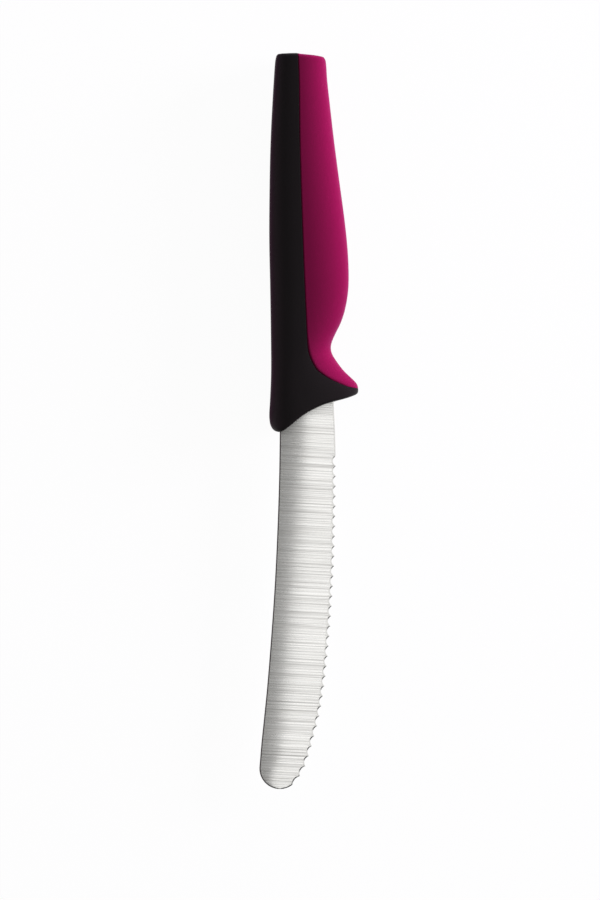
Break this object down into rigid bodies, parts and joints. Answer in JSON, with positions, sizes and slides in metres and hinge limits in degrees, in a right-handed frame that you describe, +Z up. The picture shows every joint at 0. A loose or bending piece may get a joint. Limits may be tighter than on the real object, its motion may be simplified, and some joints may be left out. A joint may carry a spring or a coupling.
{
  "type": "serrated kitchen knife",
  "caption": "Serrated kitchen knife with a round tip, a steel blade and a two-colour moulded handle with a finger guard, lying on its side.",
  "frame": {"origin": "on the surface that the knife lies on, under the middle of its box", "axes": "+X along the knife from the butt to the tip, +Y from the spine to the cutting edge, +Z up, square to the flat of the blade"},
  "size_m": [0.2204, 0.0296, 0.013],
  "materials": {
    "blade_steel": "brushed across the blade",
    "black_plastic": "satin, moulded",
    "magenta_rubber": "matte soft-touch, fine grain"
  },
  "bodies": {
    "root": {"blade": "blade_steel", "handle_body": "black_plastic", "soft_grip": "magenta_rubber"}
  },
  "joints": []
}
